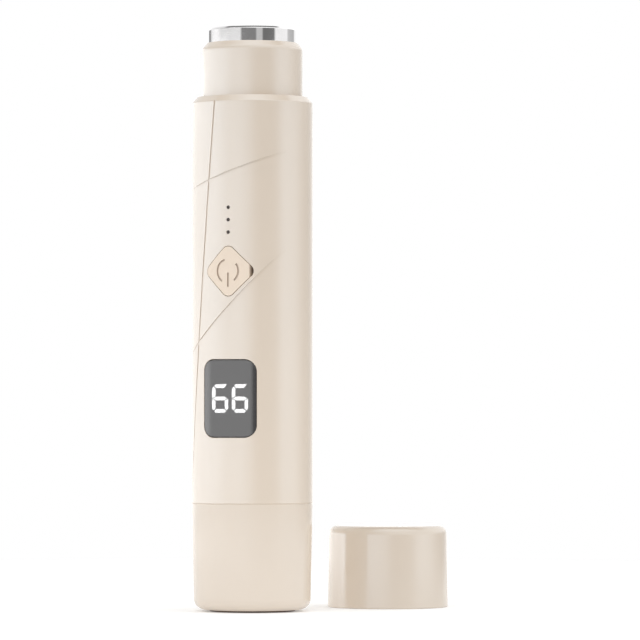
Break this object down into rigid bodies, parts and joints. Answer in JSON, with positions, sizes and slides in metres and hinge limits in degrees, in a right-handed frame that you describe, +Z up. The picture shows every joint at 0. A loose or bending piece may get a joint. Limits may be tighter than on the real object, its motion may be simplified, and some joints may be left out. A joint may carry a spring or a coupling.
{
  "type": "blackhead vacuum extractor",
  "caption": "Upright battery suction wand for pores, with a pull-off chrome head, a diamond power button, a two-digit display and a loose cap.",
  "frame": {"origin": "centre of the foot pad's lower face, on the wand's axis", "axes": "+Z up the wand's axis to the suction head, -Y out of the front with the button and the display, +X to the right as seen from the front"},
  "size_m": [0.0552, 0.0705, 0.154],
  "materials": {
    "shell_cream": "satin",
    "button_peach": "satin",
    "chrome_plate": "polished",
    "lens_smoke": "polished",
    "display_black": "matte",
    "lit_white": "lit",
    "smoked_plastic": "polished",
    "led_resin": "polished",
    "brown_silicone": "matte",
    "clear_silicone": "satin",
    "black_rubber": "matte",
    "hose_silicone": "satin",
    "board_green": "satin",
    "chip_black": "matte",
    "switch_plunger": "matte",
    "steel": "satin",
    "nickel": "satin",
    "copper": "polished",
    "bronze": "satin",
    "carbon": "matte",
    "ferrite": "matte",
    "white_acetal": "satin",
    "pump_grey": "satin",
    "frame_grey": "matte",
    "liner_white": "satin",
    "cell_wrap": "satin",
    "wire_insulation": "satin",
    "filter_foam": "open-cell"
  },
  "bodies": {
    "device": {"main_housing": "shell_cream", "base_cup": "shell_cream", "neck_shell": "shell_cream", "display_lens": "lens_smoke", "display_module": "display_black", "display_segments_lit": "lit_white", "indicator_light_pipe": "smoked_plastic", "indicator_leds": "led_resin", "button_seal": "brown_silicone", "foot_pad": "brown_silicone", "pump_damper": "black_rubber", "battery_pad": "black_rubber", "pump_diaphragm": "black_rubber", "pump_valves": "black_rubber", "suction_hose": "hose_silicone", "main_pcb": "board_green", "charge_pcb": "board_green", "pcb_components": "chip_black", "controller_chip": "chip_black", "tact_switch_body": "chip_black", "usb_socket_tongue": "chip_black", "usb_socket_shell": "steel", "motor_can": "steel", "frame_screws": "steel", "board_screws": "steel", "base_screws": "steel", "motor_screws": "steel", "pump_screws": "steel", "battery_tabs": "nickel", "motor_terminals": "nickel", "motor_bushes": "bronze", "motor_brushes": "carbon", "motor_magnets": "ferrite", "motor_end_cap": "white_acetal", "pump_base": "pump_grey", "valve_plate": "pump_grey", "pump_head": "pump_grey", "rear_frame": "frame_grey", "front_frame": "frame_grey", "filter_socket": "frame_grey", "battery_cell": "cell_wrap", "motor_leads": "wire_insulation", "battery_leads": "wire_insulation", "link_cable": "wire_insulation", "filter_sponge": "filter_foam"},
    "button": {"power_button": "button_peach", "tact_plunger": "switch_plunger"},
    "suction_head": {"head_core": "white_acetal", "chrome_ring": "chrome_plate", "contact_cushion": "clear_silicone", "head_o_ring": "black_rubber"},
    "cap": {"cap_shell": "shell_cream", "cap_liner": "liner_white"},
    "rotor": {"motor_shaft": "steel", "armature_core": "steel", "armature_windings": "copper", "commutator": "copper", "eccentric_hub": "white_acetal"},
    "wobbler": {"wobble_plate": "white_acetal", "drive_pin": "steel"}
  },
  "joints": [
    {"name": "button_press", "type": "slide", "parent": "device", "child": "button", "axis": [0, 1, 0], "range_m": [0, 0.0004], "stiffness_N_per_m": 400},
    {"name": "head_pull", "type": "slide", "parent": "device", "child": "suction_head", "axis": [0, 0, 1], "range_m": [0, 0.012]},
    {"name": "cap_lift", "type": "slide", "parent": "device", "child": "cap", "axis": [0, 0, 1], "range_m": [0, 0.06]},
    {"name": "motor_spin", "type": "hinge", "parent": "device", "child": "rotor", "pos_m": [0, 0.0034, 0.1035], "axis": [0, 0, 1], "continuous": true},
    {"name": "wobble", "type": "hinge", "parent": "rotor", "child": "wobbler", "pos_m": [0, 0.0034, 0.1146], "axis": [0.1219, 0, 0.9925], "continuous": true, "deforming": ["pump_diaphragm"]}
  ],
  "couplings": [
    {"joint": "wobble", "follows": "motor_spin", "ratio": -1}
  ]
}
